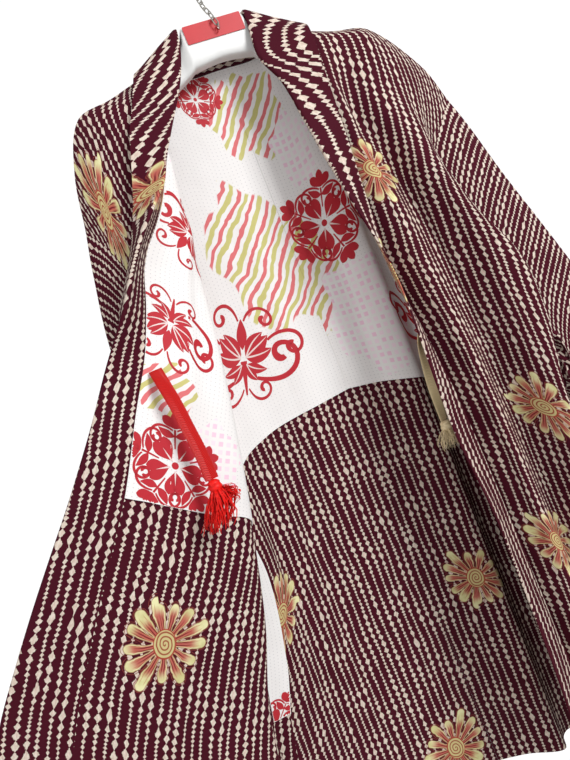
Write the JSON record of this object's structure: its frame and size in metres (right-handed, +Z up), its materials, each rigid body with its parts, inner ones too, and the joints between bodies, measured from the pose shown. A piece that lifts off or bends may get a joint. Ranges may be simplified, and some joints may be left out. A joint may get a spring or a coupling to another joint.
{
  "type": "kimono jacket on a clothes hanger",
  "caption": "Short kimono jacket hung open on a contoured hanger: wide straight sleeves, folded collar band, part lining, side gussets, two tied cords with tassels.",
  "frame": {"origin": "middle of the top link of the chain, where the hanger and jacket are held", "axes": "+Z up, -Y out of the jacket's front, +X towards the wearer's left"},
  "size_m": [0.9545, 0.2928, 1.1516],
  "materials": {
    "outer_cloth": "printed plain-weave silk, soft sheen",
    "lining_cloth": "printed light silk, soft sheen",
    "red_cord": "flat silk braid",
    "cream_cord": "flat silk braid",
    "hanger_plastic": "white satin gloss",
    "label_plate": "blank red plate",
    "chain_metal": "fine dull metal"
  },
  "bodies": {
    "root": {"body_right": "outer_cloth", "body_left": "outer_cloth", "collar": "outer_cloth", "sleeve_right": "outer_cloth", "sleeve_left": "outer_cloth", "gusset_right": "outer_cloth", "gusset_left": "outer_cloth", "lining_right": "lining_cloth", "lining_left": "lining_cloth", "gusset_lining_right": "lining_cloth", "gusset_lining_left": "lining_cloth", "tie_right": "red_cord", "tie_left": "cream_cord", "tassel_right": "red_cord", "tassel_left": "cream_cord", "hanger": "hanger_plastic", "label": "label_plate", "chain_1": "chain_metal", "chain_2": "chain_metal", "chain_3": "chain_metal", "chain_4": "chain_metal", "chain_5": "chain_metal", "chain_6": "chain_metal", "chain_7": "chain_metal", "chain_8": "chain_metal", "chain_9": "chain_metal", "chain_10": "chain_metal", "clasp": "chain_metal"}
  },
  "joints": []
}
